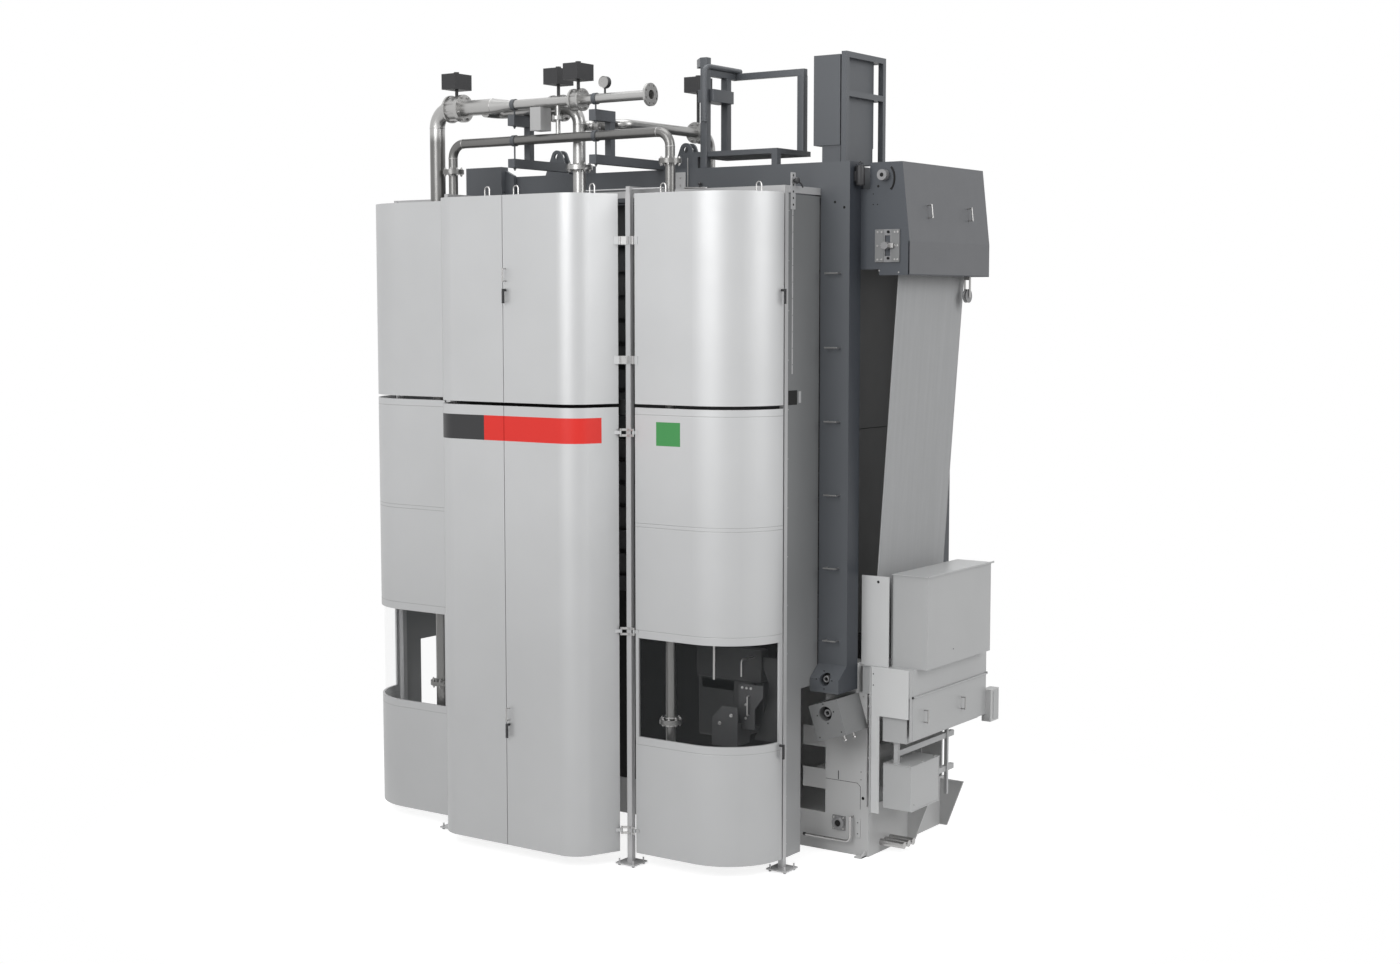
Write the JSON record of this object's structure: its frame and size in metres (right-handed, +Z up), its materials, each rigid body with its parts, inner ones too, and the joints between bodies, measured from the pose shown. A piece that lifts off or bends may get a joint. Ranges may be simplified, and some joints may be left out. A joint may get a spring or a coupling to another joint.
{
  "type": "vertical plate filter press",
  "caption": "Tower-type vertical plate filter press: curved cabinet with hinged doors and windows, frame on heavy columns, cloth run with washing unit, pipework and valves on top.",
  "frame": {"origin": "centre of the bounding box's footprint, on the floor", "axes": "+X to the right along the front, +Y from the front to the back, +Z up"},
  "size_m": [5.489, 3.697, 7.09],
  "materials": {
    "silver_panel": "satin silver paint on folded sheet",
    "window_pane": "clear polycarbonate sheet",
    "stainless": "pickled stainless steel",
    "grey_paint": "semi-gloss dark grey paint",
    "hood_paint": "semi-gloss grey paint",
    "cast_grey": "machined cast iron",
    "dark_plates": "dark moulded plates",
    "roller_rubber": "ground roller drum",
    "filter_cloth": "woven synthetic filter cloth",
    "wash_sheet": "light grey sheet",
    "actuator_case": "dark cast case"
  },
  "bodies": {
    "root": {"upper_doors": "silver_panel", "upper_levers": "actuator_case", "post_hinges": "stainless", "cabinet_frame": "silver_panel", "side_panels": "silver_panel", "press_beams": "grey_paint", "press_columns": "grey_paint", "foot_blocks": "grey_paint", "plate_pack": "dark_plates", "base_plates": "wash_sheet", "base_cross_members": "wash_sheet", "rollers": "roller_rubber", "bearings": "cast_grey", "tilted_blocks": "wash_sheet", "fixed_handles": "stainless", "hood": "hood_paint", "hood_adjuster": "cast_grey", "pulley_hanger": "stainless", "filter_cloth": "filter_cloth", "wash_plates": "wash_sheet", "sump_box": "wash_sheet", "wash_housing": "wash_sheet", "wash_cover": "wash_sheet", "low_box": "wash_sheet", "wash_rails": "wash_sheet", "wash_feet": "wash_sheet", "end_bracket": "wash_sheet", "drain_stubs": "stainless", "platform": "grey_paint", "gantry": "grey_paint", "tower_box": "grey_paint", "guard_frame": "grey_paint", "beam_fittings": "grey_paint", "feed_pipe": "stainless", "second_pipe": "stainless", "branch_pipes": "stainless", "valve_actuators": "actuator_case", "pressure_gauge": "actuator_case", "control_box": "wash_sheet", "pipe_supports": "grey_paint"},
    "door_center_left": {"center_door_lower_left": "silver_panel"},
    "door_center_right": {"center_door_lower_right": "silver_panel", "center_handle_low": "stainless"},
    "door_left": {"left_door_lower": "silver_panel", "left_window_pane": "window_pane"},
    "door_right": {"right_door_lower": "silver_panel", "right_window_pane": "window_pane"},
    "lever_center": {"center_lever_low": "actuator_case"},
    "lever_right": {"right_lever_low": "actuator_case"},
    "pulley": {"hanging_pulley": "stainless"}
  },
  "joints": [
    {"name": "center_left_door_swing", "type": "hinge", "parent": "root", "child": "door_center_left", "pos_m": [-1.3955, -1.3965, 2], "axis": [0, 0, 1], "range_deg": [-90, 0]},
    {"name": "center_right_door_swing", "type": "hinge", "parent": "root", "child": "door_center_right", "pos_m": [0.5405, -1.3965, 2], "axis": [0, 0, 1], "range_deg": [0, 90]},
    {"name": "left_door_swing", "type": "hinge", "parent": "root", "child": "door_left", "pos_m": [-1.5055, -1.3615, 2], "axis": [0, 0, 1], "range_deg": [0, 90]},
    {"name": "right_door_swing", "type": "hinge", "parent": "root", "child": "door_right", "pos_m": [0.6505, -1.3615, 2], "axis": [0, 0, 1], "range_deg": [-90, 0]},
    {"name": "center_lever_turn", "type": "hinge", "parent": "door_center_right", "child": "lever_center", "pos_m": [-0.3935, -1.8115, 1.205], "axis": [0, 1, 0], "range_deg": [0, 90]},
    {"name": "right_lever_turn", "type": "hinge", "parent": "door_right", "child": "lever_right", "pos_m": [1.8275, -0.8315, 1.12], "axis": [1, 0, 0], "range_deg": [0, 90]},
    {"name": "pulley_turn", "type": "hinge", "parent": "root", "child": "pulley", "pos_m": [2.4775, 1.2785, 4.968], "axis": [1, 0, 0], "continuous": true}
  ]
}
